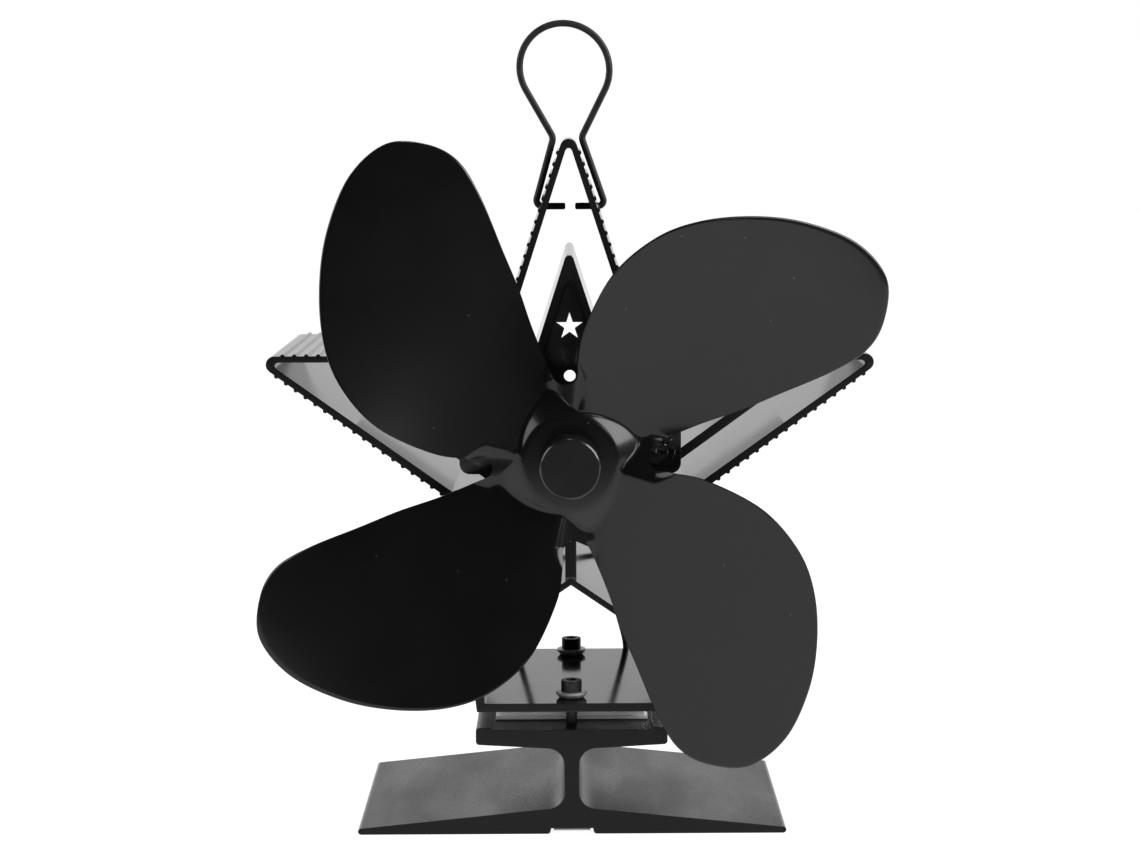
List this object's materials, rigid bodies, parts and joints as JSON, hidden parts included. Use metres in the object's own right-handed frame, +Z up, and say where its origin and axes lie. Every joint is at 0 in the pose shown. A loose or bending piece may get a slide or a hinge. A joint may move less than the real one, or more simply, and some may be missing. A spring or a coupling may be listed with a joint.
{
  "type": "stove fan",
  "caption": "Heat-powered stove fan: stamped bladed fan and motor on a star-shaped finned heat sink, clamped over a thermoelectric module on a wide extruded foot, with a wire handle.",
  "frame": {"origin": "on the surface that the foot stands on, under the middle of the bounding box of the whole object", "axes": "+Z up, the fan faces -Y, +X to the right as the fan is seen from the front; the fan axis runs along Y at x 0, z 0.1 m"},
  "size_m": [0.1602, 0.1035, 0.2115],
  "materials": {
    "black_anodised": "black anodised extrusion, satin, faint lengthwise draw lines",
    "fan_coating": "satin black coating with bare bright edges",
    "bracket_coating": "smooth black coating",
    "wire_coating": "black coated wire with a soft highlight",
    "cap_metal": "black turned metal with fine concentric turning marks",
    "dark_steel": "black oxide steel",
    "zinc_steel": "bright zinc plate",
    "strip_steel": "cold rolled strip",
    "can_steel": "drawn and plated steel",
    "bush_brass": "turned brass",
    "coil_copper": "enamelled copper wire and copper segments",
    "bearing_bronze": "sintered bronze",
    "ceramic": null,
    "graphite": "grey graphite foil",
    "black_plastic": "black moulded plastic",
    "lead_sleeve": "black silicone sleeve",
    "magnet": "sintered magnet"
  },
  "bodies": {
    "frame": {"base_foot": "black_anodised", "heat_sink": "black_anodised", "bimetal_screw": "dark_steel", "thermal_pad_lower": "graphite", "teg_hot_plate": "ceramic", "teg_core": "ceramic", "teg_cold_plate": "ceramic", "thermal_pad_upper": "graphite", "insulating_washer_front": "black_plastic", "insulating_washer_rear": "black_plastic", "clamp_washer_front": "zinc_steel", "clamp_washer_rear": "zinc_steel", "clamp_screw_front": "dark_steel", "clamp_screw_rear": "dark_steel", "motor_bracket": "bracket_coating", "bracket_washer_left": "dark_steel", "bracket_washer_right": "dark_steel", "bracket_screw_left": "dark_steel", "bracket_screw_right": "dark_steel", "motor_screw_left": "dark_steel", "motor_screw_right": "dark_steel", "motor_can": "can_steel", "motor_end_cap": "black_plastic", "motor_bearing_front": "bearing_bronze", "motor_bearing_rear": "bearing_bronze", "motor_magnet_upper": "magnet", "motor_magnet_lower": "magnet", "motor_brush_left": "bush_brass", "motor_brush_right": "bush_brass", "teg_lead_left": "lead_sleeve", "teg_lead_right": "lead_sleeve"},
    "rotor": {"fan_blade": "fan_coating", "hub_cap": "cap_metal", "hub_bush": "bush_brass", "grub_screw": "dark_steel", "motor_shaft": "zinc_steel", "armature_core": "can_steel", "armature_coil_1": "coil_copper", "armature_coil_2": "coil_copper", "armature_coil_3": "coil_copper", "commutator": "coil_copper"},
    "handle": {"handle": "wire_coating"},
    "strip": {"bimetal_strip": "strip_steel"}
  },
  "joints": [
    {"name": "fan_spin", "type": "hinge", "parent": "frame", "child": "rotor", "pos_m": [0, -0.035, 0.1], "axis": [0, 1, 0], "continuous": true},
    {"name": "handle_tilt", "type": "hinge", "parent": "frame", "child": "handle", "pos_m": [0, 0.01277, 0.1623], "axis": [1, 0, 0], "range_deg": [-15, 15]},
    {"name": "strip_bend", "type": "hinge", "parent": "frame", "child": "strip", "pos_m": [0, 0.00077, 0.00108], "axis": [1, 0, 0], "range_deg": [0, 2], "stiffness_Nm_per_rad": 0.9}
  ]
}
